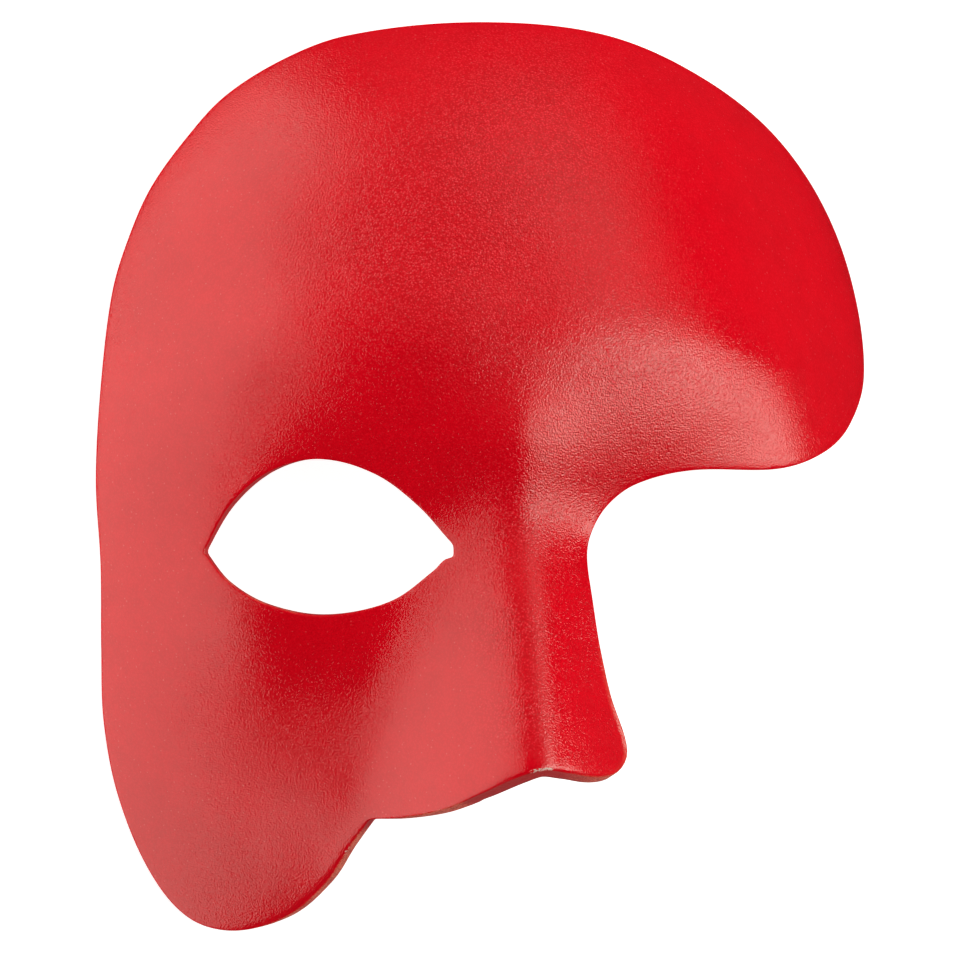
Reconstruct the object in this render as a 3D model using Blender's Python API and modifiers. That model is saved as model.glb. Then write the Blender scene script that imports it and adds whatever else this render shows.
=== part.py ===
# Half mask of moulded leather, lying face up on a table
#
# Part frame: metres, +Z up, +Y towards the forehead, +X towards the wearer's left,
# origin on the table under the middle of the mask.
# The mask is drawn in the frame of the face first: x across the face, y up it and z
# out of it, with the origin on the bridge of the nose. It is then laid on its rim.

import math

import bmesh
import bpy
from mathutils import Matrix, Vector
from mathutils.geometry import delaunay_2d_cdt

# Driving sizes, in metres
MASK_WIDTH = 0.167      # across the face, edge to edge
MASK_HEIGHT = 0.1885    # top of the forehead to the end of the cheek
FORM_DEPTH = 0.084      # how far the face form falls away from its front
LEATHER = 0.0026        # thickness of the leather
EDGE_ROUND = 0.0006     # rounding of the burnished edges
EYE_LENGTH = 0.048      # corner to corner
EYE_OPENING = 0.031     # upper lid to lower lid
REST_FLAT = 0.0003      # how much the rim is pressed flat where it rests

# The face is drawn in millimetres for a mask of these sizes, and stretched to the ones above
DRAWN_WIDTH, DRAWN_HEIGHT, DRAWN_DEPTH = 167.0, 188.5, 84.0
FACE_SPACING = 4.2      # between the points of the sheet
NOSE_SPACING = 2.7      # the same over the nose, which bends more
EDGE_SPACING = 3.57     # the same along the edge
EYE_SPACING = 2.94      # the same around the eye hole
EDGE_GAP = 0.6          # from those two rows to the next points, in shares of the spacing
NOSE_REACH = 19.0       # from the middle to where the finer points end
NOSE_TOP = 6.0          # how far above the bridge they start

# Edge of the leather, drawn on the face from the corner where the cheek meets the nose
NOSE_FOOT = [(-31.0, -69.5), (-25.0, -68.5), (-18.0, -67.5), (-11.5, -65.0), (-5.0, -62.5),
             (0.5, -61.0), (6.5, -61.3), (13.5, -62.7), (18.5, -61.3), (20.7, -58.0)]
NOSE_SIDE = [(18.0, -47.5), (16.0, -37.0), (14.5, -27.0), (14.2, -18.5)]
BROW = [(15.2, -13.5), (18.7, -7.5), (25.0, -3.0), (37.0, 0.0), (58.0, 0.0), (70.5, 3.5),
        (78.0, 10.5)]
FOREHEAD = [(84.0, 22.0), (84.0, 41.0), (79.0, 58.0), (67.0, 73.0), (50.0, 85.0), (27.5, 93.7),
            (-0.5, 96.3), (-28.0, 94.3), (-53.0, 83.0), (-69.0, 65.0), (-78.0, 43.0)]
TEMPLE = [(-81.0, 24.0), (-82.6, 3.0), (-82.0, -15.0), (-82.3, -32.5), (-81.7, -48.0)]
CHEEK = [(-78.7, -64.0), (-72.0, -80.0), (-64.5, -89.7), (-55.5, -92.0), (-46.0, -89.3),
         (-39.0, -83.0), (-34.7, -76.0)]

# Eye hole, in shares of half its length and half its opening about its middle.
# Its inner corner is cut off square, between the two lids.
EYE_MIDDLE = (-37.5, -12.2)
LOWER_LID = [(0.99, -0.33), (0.81, -0.52), (0.48, -0.86), (-0.06, -1.0), (-0.52, -0.83),
             (-0.82, -0.49), (-1.0, -0.10)]
UPPER_LID = [(-1.0, -0.10), (-0.80, 0.48), (-0.50, 0.88), (-0.09, 1.0), (0.36, 0.77),
             (0.74, 0.33), (1.0, -0.18)]


def remove_everything():
    for thing in list(bpy.data.objects):
        bpy.data.objects.remove(thing, do_unlink=True)


def collection_named(name):
    collection = bpy.data.collections.new(name)
    bpy.context.scene.collection.children.link(collection)
    return collection


# The face form, as heights over the face in the drawing's millimetres

def softened(value, softness):
    """The value above zero and nothing below it, with a soft bend between."""
    if value > 30 * softness:
        return value
    return softness * math.log1p(math.exp(value / softness))


def bump(across, up, power=2):
    """A rounded hill that is 1 on its top and spreads over about 1 each way."""
    return math.exp(-abs(across) ** power - up ** 2)


def head(x, y):
    half_width, crown, jaw_fall = 97.0, 130.0, 0.0038
    above, below = softened(y, 6.0), softened(-y, 6.0)
    rest = softened(1 - (x / half_width) ** 2 - (above / crown) ** 2, 0.02)
    return -DRAWN_DEPTH * (1 - math.sqrt(rest)) - jaw_fall * below ** 2


def brow_ridge(side, y):
    rise = y - 24.3 + 0.0058 * (side - 31.2) ** 2
    slope = 17.9 if rise > 0 else 25.9
    return 6.5 * bump((side - 31.2) / 39.9, rise / slope, power=4)


def nose(x, y):
    share = min(max(-y / 52.0, 0.0), 1.3)
    radius = 5.0 + 1.5 * share
    steepness = 0.5 + 0.75 * share
    ridge = 0.5 * softened(-y, 6.0) - 0.3 * softened(y - 2.0, 6.0)
    return softened(ridge - steepness * (math.hypot(x, radius) - radius), 3.5)


def face_height(x, y):
    side = math.hypot(x, 8.0)
    eye_socket = -3.3 * bump((side - 29.0) / 24.3, (y + 10.8) / 12.5)
    cheekbone = 4.5 * bump((side - 53.5) / 16.0, (y + 21.0) / 16.0)
    between_brows = 1.9 * bump(x / 19.0, (y - 4.1) / 10.5)
    forehead = 12.7 * bump(x / 65.8, (y - 59.0) / 41.1)
    beside_mouth = 6.9 * bump((side - 24.8) / 21.5, (y + 68.3) / 21.5)
    return (head(x, y) + brow_ridge(side, y) + nose(x, y) + eye_socket + cheekbone
            + between_brows + forehead + beside_mouth)


# Drawing on the face

def smooth_run(points, steps=12):
    """A smooth curve through the points, which keeps the first and the last."""
    points = [Vector(point) for point in points]
    ends = [points[0]] + points + [points[-1]]
    curve = [points[0]]
    for before, start, end, after in zip(ends, ends[1:], ends[2:], ends[3:]):
        reach = (end - start).length
        leave = (end - before).normalized() * reach
        arrive = (after - start).normalized() * reach
        for step in range(1, steps + 1):
            t = step / steps
            curve.append(start * (2 * t ** 3 - 3 * t ** 2 + 1) + leave * (t ** 3 - 2 * t ** 2 + t)
                         + end * (3 * t ** 2 - 2 * t ** 3) + arrive * (t ** 3 - t ** 2))
    return curve


def even_run(curve, spacing):
    """The same curve with its points about one spacing apart."""
    lengths = [0.0]
    for a, b in zip(curve, curve[1:]):
        lengths.append(lengths[-1] + (b - a).length)
    count = max(1, round(lengths[-1] / spacing))
    run, place = [], 0
    for step in range(count + 1):
        goal = lengths[-1] * step / count
        while place < len(curve) - 2 and lengths[place + 1] < goal:
            place += 1
        share = (goal - lengths[place]) / (lengths[place + 1] - lengths[place])
        run.append(curve[place].lerp(curve[place + 1], share))
    return run


def closed_loop(runs, spacing):
    """One loop of even points from runs that meet at corners."""
    loop = []
    for run in runs:
        loop += even_run(smooth_run(run), spacing)[:-1]
    return loop


def sides_of(loop):
    return zip(loop, loop[1:] + loop[:1])


def is_inside(point, loop):
    found = False
    for a, b in sides_of(loop):
        if (a.y > point.y) != (b.y > point.y):
            if point.x < a.x + (point.y - a.y) / (b.y - a.y) * (b.x - a.x):
                found = not found
    return found


def distance_to(point, loop):
    nearest = math.inf
    for a, b in sides_of(loop):
        along = b - a
        share = max(0.0, min(1.0, (point - a).dot(along) / along.length_squared))
        nearest = min(nearest, (point - a - along * share).length)
    return nearest


def lattice(loop, spacing):
    """A triangular lattice over the box around the loop."""
    low = Vector((min(p.x for p in loop), min(p.y for p in loop)))
    high = Vector((max(p.x for p in loop), max(p.y for p in loop)))
    row_height = spacing * math.sqrt(0.75)
    for row in range(math.ceil((high.y - low.y) / row_height)):
        for column in range(math.ceil((high.x - low.x) / spacing)):
            yield low + Vector(((column + 0.5 * (row % 2)) * spacing, row * row_height))


def over_nose(point, margin):
    return abs(point.x) < NOSE_REACH + margin and point.y < NOSE_TOP + margin


# The mask

def eye_run(shares):
    half_length = EYE_LENGTH / MASK_WIDTH * DRAWN_WIDTH / 2
    half_opening = EYE_OPENING / MASK_HEIGHT * DRAWN_HEIGHT / 2
    return [(EYE_MIDDLE[0] + u * half_length, EYE_MIDDLE[1] + v * half_opening) for u, v in shares]


def leather_sheet():
    """The outer face of the leather as an open surface, cut to its edge and its eye hole."""
    drawn_edge = NOSE_FOOT + NOSE_SIDE + BROW + FOREHEAD + TEMPLE + CHEEK + NOSE_FOOT[:1]
    edge = closed_loop([drawn_edge], EDGE_SPACING)
    lower, upper = eye_run(LOWER_LID), eye_run(UPPER_LID)
    eye = closed_loop([lower, upper, [upper[-1], lower[0]]], EYE_SPACING)

    points = edge + eye
    lines = [(i, (i + 1) % len(edge)) for i in range(len(edge))]
    lines += [(len(edge) + i, len(edge) + (i + 1) % len(eye)) for i in range(len(eye))]
    for spacing, on_nose, margin in ((FACE_SPACING, False, FACE_SPACING / 2), (NOSE_SPACING, True, 0)):
        for point in lattice(edge, spacing):
            if over_nose(point, margin) != on_nose:
                continue
            if not is_inside(point, edge) or is_inside(point, eye):
                continue
            if min(distance_to(point, edge), distance_to(point, eye)) > EDGE_GAP * spacing:
                points.append(point)

    flat, _, triangles, *_ = delaunay_2d_cdt(points, lines, [], 0, 1e-6)
    middles = [(flat[a] + flat[b] + flat[c]) / 3 for a, b, c in triangles]
    kept = [t for t, m in zip(triangles, middles) if is_inside(m, edge) and not is_inside(m, eye)]

    stretch = Vector((MASK_WIDTH / DRAWN_WIDTH, MASK_HEIGHT / DRAWN_HEIGHT,
                      FORM_DEPTH / DRAWN_DEPTH))
    mesh = bpy.data.meshes.new("mask_shell")
    mesh.from_pydata([Vector((p.x, p.y, face_height(p.x, p.y))) * stretch for p in flat], [], kept)
    sheet = bmesh.new()
    sheet.from_mesh(mesh)
    bmesh.ops.delete(sheet, geom=[v for v in sheet.verts if not v.link_faces], context="VERTS")
    sheet.to_mesh(mesh)
    sheet.free()
    return mesh


def thickened(sheet, collection):
    """The sheet as a solid of the leather's thickness with its edges rounded."""
    rough = bpy.data.objects.new("rough_shell", sheet)
    collection.objects.link(rough)
    wall = rough.modifiers.new("leather", "SOLIDIFY")
    wall.thickness = LEATHER
    wall.offset = -1
    wall.use_even_offset = True
    wall.use_quality_normals = True
    burnish = rough.modifiers.new("burnished edge", "BEVEL")
    burnish.width = EDGE_ROUND
    burnish.segments = 1
    burnish.limit_method = "ANGLE"
    burnish.angle_limit = math.radians(60)
    mesh = bpy.data.meshes.new_from_object(rough.evaluated_get(bpy.context.evaluated_depsgraph_get()))
    bpy.data.objects.remove(rough)
    return mesh


def resting_turn(mesh):
    """The turn that lays the mesh on the side of its hull that is under its middle."""
    area = sum(face.area for face in mesh.polygons)
    middle = sum((face.center * face.area for face in mesh.polygons), Vector()) / area
    hull = bmesh.new()
    for vertex in mesh.vertices:
        hull.verts.new(vertex.co)
    bmesh.ops.convex_hull(hull, input=hull.verts)
    down = None
    for face in hull.faces:
        foot = middle - face.normal * (middle - face.verts[0].co).dot(face.normal)
        a, b, c = (vertex.co for vertex in face.verts)
        turns = [(q - p).cross(foot - p).dot(face.normal) for p, q in ((a, b), (b, c), (c, a))]
        if face.normal.z < -0.5 and min(turns) >= 0:
            down = face.normal.copy()
    hull.free()
    laid = down.rotation_difference(Vector((0, 0, -1))).to_matrix()
    chin_to_crown = laid @ Vector((0, 1, 0))
    return Matrix.Rotation(math.atan2(chin_to_crown.x, chin_to_crown.y), 3, "Z") @ laid


def lay_down(mesh):
    mesh.transform(resting_turn(mesh).to_4x4())
    low = Vector(min(v.co[axis] for v in mesh.vertices) for axis in range(3))
    high = Vector(max(v.co[axis] for v in mesh.vertices) for axis in range(3))
    middle = (low + high) / 2
    mesh.transform(Matrix.Translation((-middle.x, -middle.y, -low.z - REST_FLAT)))


def table_cutter(collection):
    """A block with its top at the table, which presses the lowest spots of the rim flat."""
    bpy.ops.mesh.primitive_cube_add(size=1, location=(0, 0, -LEATHER))
    block = bpy.context.object
    block.name = "table_cutter"
    block.scale = (2 * MASK_WIDTH, 2 * MASK_HEIGHT, 2 * LEATHER)
    block.hide_render = True
    block.display_type = "WIRE"
    for owner in list(block.users_collection):
        owner.objects.unlink(block)
    collection.objects.link(block)
    return block


def red_leather():
    material = bpy.data.materials.new("red_leather")
    material.use_nodes = True
    shader = material.node_tree.nodes["Principled BSDF"]
    shader.inputs["Base Color"].default_value = (0.60, 0.006, 0.010, 1)
    shader.inputs["Roughness"].default_value = 0.42
    shader.inputs["Metallic"].default_value = 0.0
    return material


def build():
    remove_everything()
    parts = collection_named("venetian_leather_mask")
    cutters = collection_named("cutters")
    mesh = thickened(leather_sheet(), parts)
    lay_down(mesh)
    mesh.name = "mask_shell"
    mesh.materials.append(red_leather())
    mask = bpy.data.objects.new("mask_shell", mesh)
    parts.objects.link(mask)
    pressed = mask.modifiers.new("pressed flat", "BOOLEAN")
    pressed.operation = "DIFFERENCE"
    pressed.solver = "EXACT"
    pressed.object = table_cutter(cutters)
    mesh.shade_smooth()
    mesh.set_sharp_from_angle(angle=math.radians(50))


build()
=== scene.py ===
import math

import bmesh
import bpy
from mathutils import Matrix, Vector, noise
from mathutils.kdtree import KDTree


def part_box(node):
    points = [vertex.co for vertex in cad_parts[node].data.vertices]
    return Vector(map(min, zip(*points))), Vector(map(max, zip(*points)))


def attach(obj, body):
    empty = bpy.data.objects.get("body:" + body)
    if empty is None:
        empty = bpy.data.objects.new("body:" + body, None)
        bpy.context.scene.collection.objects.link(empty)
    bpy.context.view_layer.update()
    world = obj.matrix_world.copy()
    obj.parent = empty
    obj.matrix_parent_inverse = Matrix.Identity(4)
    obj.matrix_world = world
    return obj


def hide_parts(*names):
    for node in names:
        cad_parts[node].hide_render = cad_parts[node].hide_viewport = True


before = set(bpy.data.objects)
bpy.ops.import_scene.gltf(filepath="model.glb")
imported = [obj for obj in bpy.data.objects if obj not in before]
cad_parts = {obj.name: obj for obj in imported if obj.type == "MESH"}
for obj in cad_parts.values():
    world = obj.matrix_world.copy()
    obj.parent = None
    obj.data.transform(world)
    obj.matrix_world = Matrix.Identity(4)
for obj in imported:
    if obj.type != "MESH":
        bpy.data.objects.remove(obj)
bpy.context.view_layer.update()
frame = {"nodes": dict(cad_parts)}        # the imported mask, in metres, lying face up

print("frame loaded:", ", ".join(frame["nodes"]))

# The mask is cut and pressed in the frame of the face, in millimetres: x towards the
# wearer's left, y up the face, z out of it, zero on the bridge of the nose.
# Each edge run goes on from the end of the one before.
mask = {
    "cell": 0.9,             # size of the faces
    "leather": 2.6,          # thickness
    "rim": 2.4,              # width of the worked band along the cut edges
    "unevenness": 0.16,      # left by hand moulding
    "noseFoot": [(-30.6, -70.5), (-24.8, -70.3), (-17.8, -68.9), (-11.4, -65.9), (-5.0, -62.9),
                 (0.5, -61.6), (6.4, -62.4), (13.5, -63.4), (18.8, -62.2), (20.9, -58.0)],
    "noseSide": [(17.9, -47.6), (16.1, -37.0), (15.0, -27.0), (14.4, -18.5)],
    "brow": [(15.5, -13.6), (19.1, -7.9), (25.2, -3.6), (37.0, -0.8), (58.0, -0.1), (70.2, 4.0),
             (78.1, 10.5)],
    "forehead": [(84.0, 22.0), (84.0, 41.0), (78.9, 58.0), (67.4, 73.5), (50.2, 85.4),
                 (27.7, 94.4), (-0.5, 97.0), (-28.1, 95.1), (-40.8, 90.9), (-53.2, 83.6),
                 (-61.7, 74.7), (-69.1, 64.7), (-73.9, 54.5), (-77.7, 43.0)],
    "temple": [(-80.7, 24.0), (-82.4, 3.0), (-81.9, -15.0), (-82.0, -32.5), (-81.6, -48.0)],
    "cheek": [(-78.7, -64.0), (-72.3, -80.2), (-64.5, -90.1), (-55.5, -93.1), (-45.2, -90.4),
              (-38.2, -83.8), (-34.1, -76.4)],
    "lowerLid": [(-13.5, -17.5), (-15.2, -17.9), (-17.3, -20.0), (-25.9, -26.0), (-38.9, -28.4),
                 (-50.3, -25.8), (-57.9, -20.6), (-62.4, -14.1)],
    "upperLid": [(-62.4, -14.1), (-57.2, -4.8), (-49.5, 1.5), (-39.7, 3.4), (-28.8, -0.1),
                 (-19.8, -7.1), (-13.4, -15.0)],
    # Along the edges, as spots of the face: how far the knife leaned outwards in millimetres, how far
    # the outer side rolls down at the cut, how bare its corner is worn, how far the dye is worn off the
    # cut with a painted highlight on it along the cheek, and how strong a painted highlight lies beside
    # it
    "knifeLean": {"reach": 8.0, "elsewhere": 0.0, "spots": {
        (-30.5, -70.2): 0.2, (-24.8, -69.5): 0.5, (-17.8, -68.5): 0.8, (-11.4, -65.3): 1.3,
        (-5.0, -62.5): 1.6, (0.5, -61.4): 1.7, (6.4, -62.3): 1.2, (13.5, -62.7): 1.3,
        (18.7, -61.6): 1.6, (-34.1, -76.4): 0.6, (-38.7, -83.3): 0.9, (-45.9, -89.5): 1.5,
        (-53.0, -92.0): 1.2, (-61.0, -91.6): 0.2, (-38.9, -28.0): -0.1, (-50.3, -25.7): -0.35,
        (-57.9, -20.5): -0.6, (-62.1, -13.9): -0.6, (-57.3, -4.4): 0.3, (-49.8, 2.0): 0.8,
        (-39.7, 3.6): 0.45}},
    "roll": {"reach": 6.0, "elsewhere": 0.1, "spots": {
        (-33.5, -75.0): 0.3, (-38.7, -83.3): 0.35, (-45.9, -89.5): 0.3, (20.8, -58.0): -0.4,
        (18.5, -51.0): -0.4, (17.0, -43.0): -0.1, (30.0, -2.0): 0.15, (45.0, -0.4): 0.15,
        (58.0, -0.1): 0.15, (-11.4, -65.3): 0.15, (-5.0, -62.5): 0.25}},
    "worn": {"reach": 1.3, "elsewhere": 0.0, "spots": {
        (-1.4, -61.8): 1.0, (0.3, -61.4): 0.9, (1.8, -61.5): 0.9, (-22.0, -69.2): 0.45,
        (-18.6, -68.6): 0.6, (-15.4, -67.6): 0.45, (-34.3, -77.0): 0.8, (-62.3, -14.0): 0.6}},
    # the cut's paler colour: dye worn off at the nose foot, and a painted highlight along the cheek's
    # inner cut
    "rubbedCutAndHighlight": {"reach": 3.0, "elsewhere": 0.0, "spots": {
        (8.5, -62.6): 0.3, (11.5, -62.8): 0.5, (14.5, -62.7): 0.7, (17.5, -62.2): 0.7,
        (20.0, -60.5): 0.4, (-24.5, -69.5): 0.5, (-20.5, -69.0): 0.7, (-16.5, -68.0): 0.6,
        (-33.5, -75.0): 0.9, (-36.5, -80.3): 1.0, (-40.5, -85.2): 1.0, (-45.5, -89.6): 1.0,
        (-50.5, -91.6): 0.8, (-46.0, -27.0): 0.5, (-52.5, -24.8): 0.6, (-58.0, -20.4): 0.5}},
    # a painted highlight on the outer side along the nose's cut edge, where the rolled edge catches the
    # light
    "paintedEdgeHighlight": {"reach": 5.0, "elsewhere": 0.0, "spots": {
        (20.6, -57.5): 0.35, (18.9, -52.0): 0.5, (17.9, -47.6): 0.5, (16.8, -41.5): 0.35}},
    # where the leather was stretched least and its grain stands up most: place and reach
    "grainy": [(-14, 46, 24), (24, 16, 20), (4, -10, 12), (6, 72, 20), (-2, -34, 7), (-1, -50, 7)],
}

# How the mask leans on its rim, in degrees
lean = {"x": -5.5942, "y": -4.1050}


def softened(value, softness):
    # the value above zero and nothing below, with a soft bend between
    if value > 30 * softness:
        return value
    return softness * math.log1p(math.exp(value / softness))


def hill(across, up, power=2):
    return math.exp(-abs(across) ** power - up ** 2)


def faceForm(x, y):
    above, below = softened(y, 6), softened(-y, 6)
    head = -84 * (1 - math.sqrt(softened(1 - (x / 97) ** 2 - (above / 130) ** 2, 0.02)))
    head -= 0.0038 * below ** 2

    side = math.hypot(x, 8)
    rise = y - 24.3 + 0.0058 * (side - 31.2) ** 2
    brow = 6.5 * hill((side - 31.2) / 39.9, rise / (17.9 if rise > 0 else 25.9), power=4)

    share = min(max(-y / 52, 0), 1.3)
    bridge = 5 + 1.5 * share
    ridge = 0.5 * softened(-y, 6) - 0.3 * softened(y - 2, 6)
    nose = softened(ridge - (0.5 + 0.75 * share) * (math.hypot(x, bridge) - bridge), 3.5)

    form = head + brow + nose
    form -= 3.3 * hill((side - 29) / 24.3, (y + 10.8) / 12.5)       # eye socket
    form += 4.5 * hill((side - 53.5) / 16, (y + 21) / 16)           # cheekbone
    form += 1.9 * hill(x / 19, (y - 4.1) / 10.5)                    # between the brows
    form += 12.7 * hill(x / 65.8, (y - 59) / 41.1)                  # forehead
    form += 6.9 * hill((side - 24.8) / 21.5, (y + 68.3) / 21.5)     # beside the mouth
    return form


def pressed(x, y):
    # the form with the slight waves that hands leave in wet leather
    waves = noise.noise(Vector((x / 17, y / 17, 3.1))) + 0.4 * noise.noise(Vector((x / 7, y / 7, 8.4)))
    return faceForm(x, y) + mask["unevenness"] * waves


def onFace(x, y):
    # the point of the outer side there, and the way out of the leather
    height, step = pressed(x, y), 0.05
    slopeX = (pressed(x + step, y) - height) / step
    slopeY = (pressed(x, y + step) - height) / step
    return Vector((x, y, height)), Vector((-slopeX, -slopeY, 1)).normalized()


def smoothRun(points, steps=40):
    points = [Vector(point) for point in points]
    ends = [points[0]] + points + [points[-1]]
    curve = [points[0]]
    for before, start, end, after in zip(ends, ends[1:], ends[2:], ends[3:]):
        reach = (end - start).length
        leave, arrive = (end - before).normalized() * reach, (after - start).normalized() * reach
        for step in range(1, steps + 1):
            t = step / steps
            curve.append(start * (2 * t ** 3 - 3 * t ** 2 + 1) + leave * (t ** 3 - 2 * t ** 2 + t)
                         + end * (3 * t ** 2 - 2 * t ** 3) + arrive * (t ** 3 - t ** 2))
    return curve


def evenLoop(curve, spacing=0.3):
    lengths = [0.0]
    for a, b in zip(curve, curve[1:]):
        lengths.append(lengths[-1] + (b - a).length)
    count = round(lengths[-1] / spacing)
    loop, place = [], 0
    for step in range(count):
        goal = lengths[-1] * step / count
        while lengths[place + 1] < goal:
            place += 1
        share = (goal - lengths[place]) / (lengths[place + 1] - lengths[place])
        loop.append(curve[place].lerp(curve[place + 1], share))
    for _ in range(4):      # a knife leaves no quite sharp corner
        loop = [(a + b * 2 + c) / 4 for a, b, c in zip(loop[-1:] + loop, loop, loop[1:] + loop[:1])]
    return loop


class CutEdge:
    # one closed cut of the knife, with the leather on its left

    def __init__(self, points):
        self.points = points
        self.tree = KDTree(len(points))
        for index, point in enumerate(points):
            self.tree.insert((point.x, point.y, 0), index)
        self.tree.balance()

    def at(self, place):
        count = len(self.points)
        low = math.floor(place)
        return self.points[low % count].lerp(self.points[(low + 1) % count], place - low)

    def nearest(self, point):
        index = self.tree.find((point.x, point.y, 0))[1]
        best = None
        for start in (index - 1, index):
            a, b = self.at(start), self.at(start + 1)
            along = b - a
            share = min(1, max(0, (point.xy - a).dot(along) / along.length_squared))
            away = point.xy - a.lerp(b, share)
            if best is None or away.length < abs(best[1]):
                best = (start + share, math.copysign(away.length, along.cross(away)))
        return best


print("cutting the leather")
edgeRun = [point for run in ("noseFoot", "noseSide", "brow", "forehead", "temple", "cheek")
           for point in mask[run]]
eyeCurve = smoothRun(mask["lowerLid"]) + smoothRun(mask["upperLid"])[1:]
eyeCurve.append(eyeCurve[0])
cutEdges = [CutEdge(evenLoop(smoothRun(edgeRun + edgeRun[:1]))), CutEdge(evenLoop(eyeCurve))]


def fromEdge(point):
    # how far inside the leather a point of the face is, and from which edge
    reach = [edge.tree.find((point.x, point.y, 0))[2] for edge in cutEdges]
    index = reach.index(min(reach))
    place, away = cutEdges[index].nearest(point)
    return away, place, index


# A flat blank, trimmed a rim's width inside the cuts
bpy.ops.object.select_all(action="DESELECT")
low = Vector(min(p[axis] for p in cutEdges[0].points) for axis in range(2))
high = Vector(max(p[axis] for p in cutEdges[0].points) for axis in range(2))
size = high - low
bpy.ops.mesh.primitive_grid_add(size=1, x_subdivisions=round(size.x / mask["cell"]),
                                y_subdivisions=round(size.y / mask["cell"]),
                                location=((low.x + high.x) / 2, (low.y + high.y) / 2, 0))
leather = bpy.context.object
leather.name = "mask_leather"
leather.scale = (size.x, size.y, 1)
bpy.ops.object.transform_apply(location=True, rotation=True, scale=True)

bpy.ops.object.mode_set(mode="EDIT")
bpy.ops.mesh.select_mode(type="FACE")
bpy.ops.mesh.select_all(action="DESELECT")
sheet = bmesh.from_edit_mesh(leather.data)
for face in sheet.faces:
    face.select_set(fromEdge(face.calc_center_median())[0] < mask["rim"])
bmesh.update_edit_mesh(leather.data)
bpy.ops.mesh.delete(type="FACE")

# The stepped edge of the blank is drawn onto the inner line of the rim
bpy.ops.mesh.select_mode(type="VERT")
bpy.ops.mesh.select_all(action="DESELECT")
sheet = bmesh.from_edit_mesh(leather.data)
for vertex in sheet.verts:
    if vertex.is_boundary:
        away, place, index = fromEdge(vertex.co)
        foot = cutEdges[index].at(place)
        vertex.co.xy = foot + (vertex.co.xy - foot).normalized() * mask["rim"]
        vertex.select_set(True)
bmesh.update_edit_mesh(leather.data)
bpy.ops.mesh.remove_doubles(threshold=0.4)

bpy.ops.mesh.select_all(action="DESELECT")
sheet = bmesh.from_edit_mesh(leather.data)
for vertex in sheet.verts:
    if not vertex.is_boundary:
        vertex.select_set(fromEdge(vertex.co)[0] < mask["rim"] + 5 * mask["cell"])
bmesh.update_edit_mesh(leather.data)
bpy.ops.mesh.vertices_smooth(factor=0.5, repeat=8)
bpy.ops.object.mode_set(mode="OBJECT")

print("pressing it over the face form")
sheet = bmesh.new()
sheet.from_mesh(leather.data)
bareness = sheet.verts.layers.float.new("worn")          # 1 where the dye is worn away
rubbedCutAndHighlightLayer = sheet.verts.layers.float.new("rubbedCutAndHighlight")         # 1 where the cut has lost its dye, and along the cheek where a highlight is painted on it
edgeHighlightLayer = sheet.verts.layers.float.new("paintedEdgeHighlight")        # 1 where a highlight is painted on the bend of the edge
raised = sheet.verts.layers.float.new("grainy")          # 1 where the grain stands up
inwards = sheet.verts.layers.float.new("edgeDistance")   # millimetres from the cut edge
through = sheet.verts.layers.float.new("through")        # 0 outside to 1 inside


def borders(mesh):
    # the open edges as ordered loops of vertices, in the same order each run
    todo = dict.fromkeys(edge for edge in mesh.edges if edge.is_boundary)
    while todo:
        edge = next(iter(todo))
        del todo[edge]
        loop = [edge.verts[0], edge.verts[1]]
        while loop[-1] != loop[0]:
            edge = next(e for e in loop[-1].link_edges if e in todo)
            del todo[edge]
            loop.append(edge.other_vert(loop[-1]))
        yield loop[:-1]


def alongEdge(name, point):
    # the value that the nearby spots give, fading to the usual one away from them
    reach, usual = mask[name]["reach"], mask[name]["elsewhere"]
    near = total = 0
    for (x, y), value in mask[name]["spots"].items():
        weight = math.exp(-((point.x - x) ** 2 + (point.y - y) ** 2) / reach ** 2)
        near += weight
        total += weight * (value - usual)
    return usual + total / max(near, 1)


# where each vertex of the two borders leaves the rim, and where it reaches the cut
rims = []
for loop in borders(sheet):
    index = fromEdge(loop[0].co)[2]
    count = len(cutEdges[index].points)
    places = [cutEdges[index].nearest(vertex.co)[0] for vertex in loop]
    for k in range(1, len(places)):     # unwound, so that they only run on
        while places[k] - places[k - 1] > count / 2:
            places[k] -= count
        while places[k - 1] - places[k] > count / 2:
            places[k] += count
    turn = count if places[-1] > places[0] else -count
    for _ in range(30):
        before = [places[-1] - turn] + places[:-1]
        after = places[1:] + [places[0] + turn]
        places = [(a + 2 * b + c) / 4 for a, b, c in zip(before, places, after)]
    rims.append([(vertex, vertex.co.xy.copy(), cutEdges[index].at(place))
                 for vertex, place in zip(loop, places)])

for vertex in sheet.verts:
    vertex[inwards] = fromEdge(vertex.co)[0]
    vertex[raised] = min(1, sum(hill((vertex.co.x - x) / reach, (vertex.co.y - y) / reach)
                                for x, y, reach in mask["grainy"]))
outer = list(sheet.verts)
copied = bmesh.ops.duplicate(sheet, geom=sheet.verts[:] + sheet.edges[:] + sheet.faces[:])
inner = {vertex: copied["vert_map"][vertex] for vertex in outer}
bmesh.ops.reverse_faces(sheet, faces=[f for f in copied["geom"] if isinstance(f, bmesh.types.BMFace)])
for vertex in outer:
    vertex.co, outwards = onFace(*vertex.co.xy)
    inner[vertex].co = vertex.co - outwards * mask["leather"]
    inner[vertex][through] = 1

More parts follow.
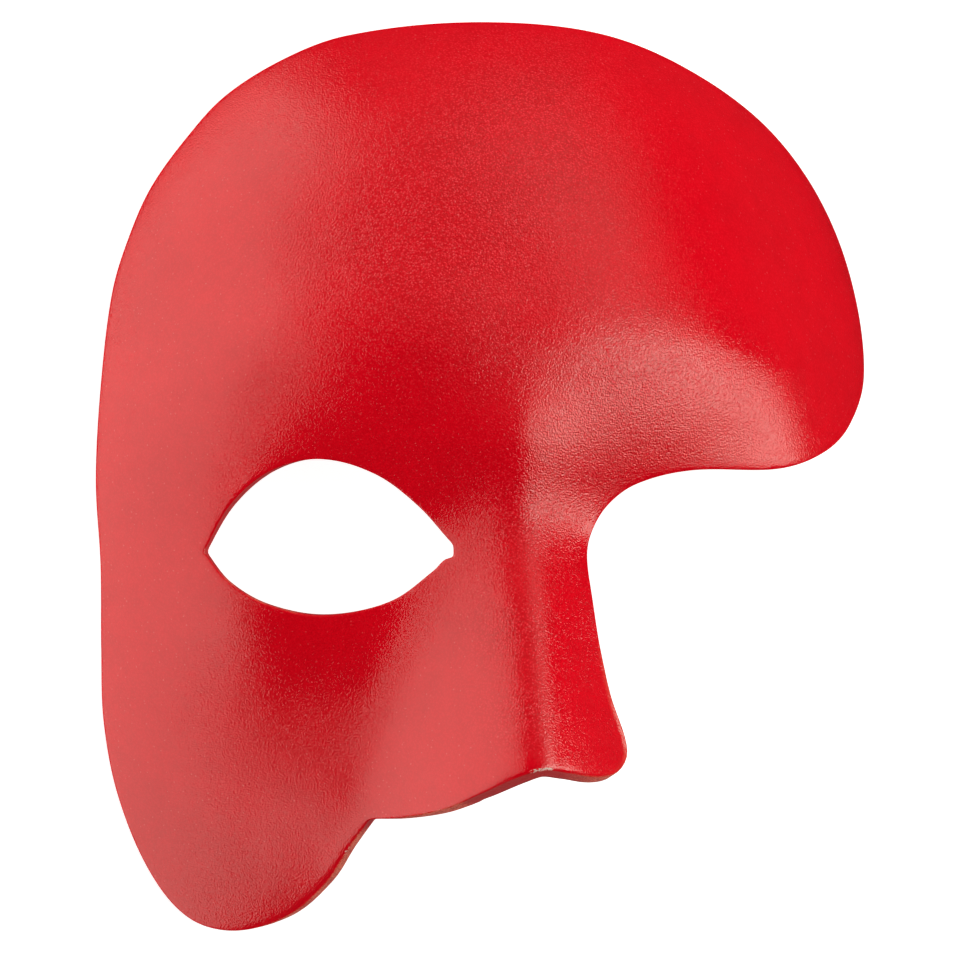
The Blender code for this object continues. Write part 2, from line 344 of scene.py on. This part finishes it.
# The worked edge, from the outer side round to the inner one: distance from the cut,
# share of the roll, and depth under the outer side
thick = mask["leather"]
profile = [(1.9, 0.02, 0), (1.5, 0.08, 0), (1.15, 0.19, 0), (0.85, 0.35, 0), (0.6, 0.53, 0),
           (0.38, 0.72, 0.01), (0.2, 0.88, 0.04), (0.08, 0.97, 0.12), (0.0, 1, 0.28), (0.0, 1, 0.7),
           (-0.02, 0.6, thick * 0.5), (0.0, 0.2, thick - 0.6), (0.04, 0, thick - 0.3),
           (0.16, 0, thick - 0.1), (0.4, 0, thick), (0.8, 0, thick), (1.5, 0, thick)]
for rim in rims:
    rows = [[vertex for vertex, start, foot in rim]]
    ways = [(start - foot).normalized() for vertex, start, foot in rim]
    slopes = [(pressed(*(foot + way * 0.3)) - pressed(*(foot - way * 0.3))) / 0.6
              for (vertex, start, foot), way in zip(rim, ways)]
    rolls = [alongEdge("roll", foot) for vertex, start, foot in rim]
    leans = [alongEdge("knifeLean", foot) for vertex, start, foot in rim]
    bares = [alongEdge("worn", foot) for vertex, start, foot in rim]
    rubbedCutAndHighlights = [alongEdge("rubbedCutAndHighlight", foot) for vertex, start, foot in rim]
    edgeHighlights = [alongEdge("paintedEdgeHighlight", foot) for vertex, start, foot in rim]
    for distance, rollShare, under in profile:
        rows.append([])
        for k, (vertex, start, foot) in enumerate(rim):
            depth = under + rolls[k] * rollShare
            leaned = distance / math.hypot(1, slopes[k]) - leans[k] * under / thick
            spot = foot + ways[k] * min(leaned, mask["rim"] * 0.95)
            surface, outwards = onFace(*spot)
            new = sheet.verts.new(surface - outwards * depth)
            new[inwards] = max(distance, 0)
            new[through] = under / thick
            new[bareness] = bares[k] * hill(max(distance, 0) / 0.35, under / 0.6)
            new[rubbedCutAndHighlightLayer] = rubbedCutAndHighlights[k] * hill(max(distance, 0) / 0.15, 0)
            new[edgeHighlightLayer] = edgeHighlights[k] * hill(max(distance, 0) / 0.9, under / 0.8)
            rows[-1].append(new)
    rows.append([inner[vertex] for vertex, start, foot in rim])
    for last, row in zip(rows, rows[1:]):
        for k in range(len(row)):
            sheet.faces.new((last[k - 1], last[k], row[k], row[k - 1]))
bmesh.ops.dissolve_degenerate(sheet, dist=0.02, edges=sheet.edges)
bmesh.ops.recalc_face_normals(sheet, faces=sheet.faces)
for face in sheet.faces:
    face.smooth = True
sheet.to_mesh(leather.data)
sheet.free()

print("laying it on its rim")
laid = Matrix.Rotation(math.radians(lean["x"]), 4, "X") @ Matrix.Rotation(math.radians(lean["y"]), 4, "Y")
toPart = laid @ Matrix.Scale(0.001, 4)
leather.data.transform(toPart)
boxLow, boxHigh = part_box("mask_shell")
own = [(min(v.co[axis] for v in leather.data.vertices), max(v.co[axis] for v in leather.data.vertices))
       for axis in range(3)]
pressedFlat = 0.0003     # metres that the table takes off the rim
fit = Vector(((boxHigh.x - boxLow.x) / (own[0][1] - own[0][0]),
              (boxHigh.y - boxLow.y) / (own[1][1] - own[1][0]),
              (boxHigh.z - boxLow.z + pressedFlat) / (own[2][1] - own[2][0])))
shift = Vector((boxLow.x - own[0][0] * fit.x, boxLow.y - own[1][0] * fit.y,
                boxHigh.z - own[2][1] * fit.z))
print("  stretched to the frame by", [round(value, 5) for value in fit])
leather.data.transform(Matrix.Translation(shift) @ Matrix.Diagonal((*fit, 1)))
for vertex in leather.data.vertices:
    vertex.co.z = max(vertex.co.z, boxLow.z)     # the three spots it rests on


class Socket:
    # a shader value that takes plain arithmetic

    def __init__(self, shader, link):
        self.shader, self.link = shader, link

    def maths(self, operation, *values):
        values = [value.link if isinstance(value, Socket) else value for value in values]
        return self.shader.node("ShaderNodeMath", {"operation": operation}, dict(enumerate(values)))

    def __add__(self, other):
        return self.maths("ADD", self, other)

    def __sub__(self, other):
        return self.maths("SUBTRACT", self, other)

    def __rsub__(self, other):
        return self.maths("SUBTRACT", other, self)

    def __mul__(self, other):
        return self.maths("MULTIPLY", self, other)

    __radd__, __rmul__ = __add__, __mul__

    def between(self, low, high):
        # 0 at low and below, 1 at high and above
        settings = {"interpolation_type": "SMOOTHSTEP"}
        sockets = {"Value": self.link, "From Min": low, "From Max": high}
        return self.shader.node("ShaderNodeMapRange", settings, sockets)


class Shader:
    def __init__(self, name):
        self.material = bpy.data.materials.new(name)
        self.material.use_nodes = True
        self.tree = self.material.node_tree
        self.surface = self.tree.nodes["Principled BSDF"]

    def node(self, kind, settings=None, sockets=None, output=0):
        made = self.tree.nodes.new(kind)
        for name, value in (settings or {}).items():
            setattr(made, name, value)
        for name, value in (sockets or {}).items():
            self.plug(made.inputs[name], value)
        return Socket(self, made.outputs[output])

    def plug(self, target, value):
        if isinstance(value, Socket):
            value = value.link
        if isinstance(value, bpy.types.NodeSocket):
            self.tree.links.new(value, target)
        else:
            target.default_value = value

    def mix(self, share, first, second):
        sockets = {"Factor": share, 6: first, 7: second}
        return self.node("ShaderNodeMix", {"data_type": "RGBA"}, sockets, output=2)

    def attribute(self, name):
        return self.node("ShaderNodeAttribute", {"attribute_name": name}, output="Fac")

    def noise(self, where, scale, detail=2.0, output="Factor"):
        return self.node("ShaderNodeTexNoise", {}, {"Vector": where, "Scale": scale, "Detail": detail},
                         output=0 if output == "Factor" else 1)


print("dyeing and waxing it")
dye = {
    "red": (0.90, 0.0010, 0.0125, 1),
    "deepRed": (0.70, 0.0006, 0.0085, 1),
    "cutEdge": (0.60, 0.028, 0.032, 1),
    # worn-off dye of the cut, also the colour of the painted highlight on the cheek's cut
    "rubbedCutAndHighlight": (1.0, 0.21, 0.13, 1),
    "inside": (0.36, 0.020, 0.016, 1),
    "bare": (0.95, 0.66, 0.60, 1),
    # colour of the painted glints on the pebble tops
    "pebbleTopsAndGlint": (1.0, 0.040, 0.062, 1),
    # colour of the painted glint specks
    "glintSpecks": (0.95, 0.10, 0.11, 1),
    # colour of the painted highlight beside the nose's cut edge
    "paintedEdgeHighlight": (0.92, 0.20, 0.14, 1),
    "roughness": 0.11,
    "grain": 0.0005,         # metres from pebble to pebble
    "grainDepth": 0.00009,
    "wander": 0.0006,        # how far the creases stray
    # how many of each come to a metre
    "wanders": 900, "glintSpeckCells": 700, "fuzz": 2300, "clouds": 38, "mottles": 260, "fibres": 2600,
}
skin = Shader("red_leather")
here = skin.node("ShaderNodeTexCoord", output="Object")
distance = skin.attribute("edgeDistance")
depth = skin.attribute("through")
worn = skin.attribute("worn")

# rounded pebbles with wandering creases between them
wander = skin.noise(here, dye["wanders"], 2.0, output="Color")
offset = skin.node("ShaderNodeVectorMath", {"operation": "SCALE"}, {0: wander, "Scale": dye["wander"]})
bent = skin.node("ShaderNodeVectorMath", {"operation": "ADD"}, {0: here, 1: offset})
pebbles = skin.node("ShaderNodeTexVoronoi", {"feature": "F1"},
                    {"Vector": bent, "Scale": 1 / dye["grain"]})
creases = pebbles.between(0.3, 0.75)
pebbleTopsAndGlint = 1 - pebbles.between(0.1, 0.5)
fine = skin.noise(here, 1.4 / dye["grain"], 0.4)
grainy = skin.attribute("grainy")
grain = (fine * 1.2 + pebbleTopsAndGlint * 0.3) * (0.65 + grainy * 0.85)
# sparse pale specks: painted glints of single pebbles catching the light
spots = skin.node("ShaderNodeTexVoronoi", {"feature": "F1"},
                  {"Vector": bent, "Scale": dye["glintSpeckCells"]})
glintSpecks = 1 - spots.between(0.05, 0.17)
cut = depth.between(0.06, 0.22)
inside = depth.between(0.75, 1.0)
fuzz = skin.noise(here, dye["fuzz"], 4.0)
relief = grain * (1 - cut) + fuzz * cut * 1.6

cloud = skin.noise(here, dye["clouds"], 3.0).between(0.35, 0.68)
mottle = skin.noise(here, dye["mottles"], 3.0).between(0.3, 0.75)
# the dye's own uneven tone from cloud and mottle, plus painted shade darkening the creases between
# pebbles, more where the grain stands up
toneAndCreaseShade = cloud * 0.3 + mottle * 0.2 + creases * (0.2 + grainy * 0.4)
red = skin.mix(toneAndCreaseShade, dye["red"], dye["deepRed"])
# painted glints: the pebble tops are tinted paler, more where the grain stands up, in place of the lamps'
# glints on them
red = skin.mix(pebbleTopsAndGlint * (0.1 + grainy * 0.9), red, dye["pebbleTopsAndGlint"])
# painted glints: sparse pale specks mixed into the colour
red = skin.mix(glintSpecks * 0.45, red, dye["glintSpecks"])
# painted highlight: the outer side beside the nose's cut edge is paled
red = skin.mix(skin.attribute("paintedEdgeHighlight"), red, dye["paintedEdgeHighlight"])
fibre = skin.noise(here, dye["fibres"], 3.0).between(0.35, 0.65)
bareHere = (worn * (0.4 + fibre)).between(0.4, 0.9)
# the cut paled: partly dye worn off, partly a painted highlight where the cheek's cut faces the lamps
rubbedCutAndHighlight = skin.attribute("rubbedCutAndHighlight") * (0.4 + fibre * 0.8)
colour = skin.mix(cut, red, dye["cutEdge"])
colour = skin.mix(rubbedCutAndHighlight.between(0.1, 0.9), colour, dye["rubbedCutAndHighlight"])
colour = skin.mix(inside, colour, dye["inside"])
colour = skin.mix(bareHere, colour, dye["bare"])

skin.plug(skin.surface.inputs["Base Color"], colour)
roughness = dye["roughness"] + cloud * 0.03 - (1 - distance.between(0.0, 1.5)) * 0.04
skin.plug(skin.surface.inputs["Roughness"], roughness + cut * 0.35 + bareHere * 0.3)
skin.surface.inputs["Metallic"].default_value = 0.0
bump = skin.node("ShaderNodeBump", {}, {"Distance": dye["grainDepth"], "Height": relief})
skin.plug(skin.surface.inputs["Normal"], bump)
leather.data.materials.clear()
leather.data.materials.append(skin.material)

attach(leather, "root")
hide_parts("mask_shell")

print("floor, lights and camera")
studio = {
    "distance": 1.0,                 # camera to the bridge of the nose
    "yaw": 9.0, "pitch": 4.0, "roll": 2.0,
    "aside": 7.105, "up": 1.987,     # millimetres from the bridge to the middle of the picture
    "lens": 184.6,
    "world": 0.012,
    "floorSize": 24,
    "floorGlow": 0.92,
    "lampDistance": 0.9,
    "lampColour": (1, 0.98, 0.87),
}
lights = {     # degrees across and up from the camera's axis, then size in degrees, and brightness
    "window": {"across": -83, "up": 2, "wide": 54, "high": 120, "bright": 1.9},
    "curtain": {"across": -45, "up": 2.5, "wide": 10, "high": 48, "bright": 2.1, "only": "sheen"},
    "side": {"across": 58, "up": -6, "wide": 25, "high": 55, "bright": 2.3},
    "strip": {"across": 63, "up": -5, "wide": 78, "high": 19, "bright": 4.2, "only": "sheen"},
    "above": {"across": 52, "up": 40, "wide": 42, "high": 72, "bright": 0.78},
    "top": {"across": -8, "up": 58, "wide": 37, "high": 70, "bright": 0.24},
    "fill": {"across": 22, "up": 14, "wide": 50, "high": 50, "bright": 1.45, "only": "colour"},
}

bpy.ops.object.select_all(action="DESELECT")
bpy.ops.mesh.primitive_plane_add(size=studio["floorSize"], location=(0, 0, -0.0001))
floor = bpy.context.object
floor.name = "floor"
floor.visible_glossy = False
paper = Shader("floor_paper")
paper.surface.inputs["Base Color"].default_value = (0.62, 0.62, 0.62, 1)
paper.surface.inputs["Roughness"].default_value = 0.9
paper.surface.inputs["Emission Color"].default_value = (1, 1, 1, 1)
paper.surface.inputs["Emission Strength"].default_value = studio["floorGlow"]
floor.data.materials.append(paper.material)

turn = (Matrix.Rotation(math.radians(studio["roll"]), 4, "Z")
        @ Matrix.Rotation(math.radians(-studio["pitch"]), 4, "X")
        @ Matrix.Rotation(math.radians(studio["yaw"]), 4, "Y"))
faceToPart = Matrix.Translation(shift) @ Matrix.Diagonal((*fit, 1)) @ toPart
bridgeOfNose = faceToPart @ Vector((0, 0, 0))
viewTurn = laid @ turn.inverted()     # from the camera's axes to the part's
aim = Vector((-studio["aside"], -studio["up"], 0)) * 0.001

bpy.ops.object.camera_add()
camera = bpy.context.object
camera.matrix_world = (Matrix.Translation(bridgeOfNose) @ viewTurn
                       @ Matrix.Translation(aim + Vector((0, 0, studio["distance"]))))
camera.data.lens = studio["lens"]
camera.data.sensor_width = 36
camera.data.clip_start = 0.05
camera.data.clip_end = 20
bpy.context.scene.camera = camera

away = studio["lampDistance"]
for name, light in lights.items():
    across, up = math.radians(light["across"]), math.radians(light["up"])
    towards = Vector((math.sin(across) * math.cos(up), math.sin(up), math.cos(across) * math.cos(up)))
    right = Vector((math.cos(across), 0, -math.sin(across)))
    axes = Matrix((right, towards.cross(right), towards)).transposed().to_4x4()
    bpy.ops.object.light_add(type="AREA")
    lamp = bpy.context.object
    lamp.name = name + "_light"
    lamp.data.shape = "RECTANGLE"
    lamp.data.size = 2 * away * math.tan(math.radians(light["wide"] / 2))
    lamp.data.size_y = 2 * away * math.tan(math.radians(light["high"] / 2))
    lamp.visible_diffuse = light.get("only") != "sheen"
    lamp.visible_glossy = light.get("only") != "colour"
    lamp.data.color = studio["lampColour"]
    lamp.data.energy = light["bright"] * math.pi * lamp.data.size * lamp.data.size_y
    lamp.matrix_world = (Matrix.Translation(bridgeOfNose) @ viewTurn
                         @ Matrix.Translation(towards * away) @ axes)

world = bpy.data.worlds.new("studio")
world.use_nodes = True
world.node_tree.nodes["Background"].inputs["Color"].default_value = (1, 1, 1, 1)
world.node_tree.nodes["Background"].inputs["Strength"].default_value = studio["world"]
bpy.context.scene.world = world
bpy.context.scene.view_settings.view_transform = "Standard"

print("faces:", len(leather.data.polygons))
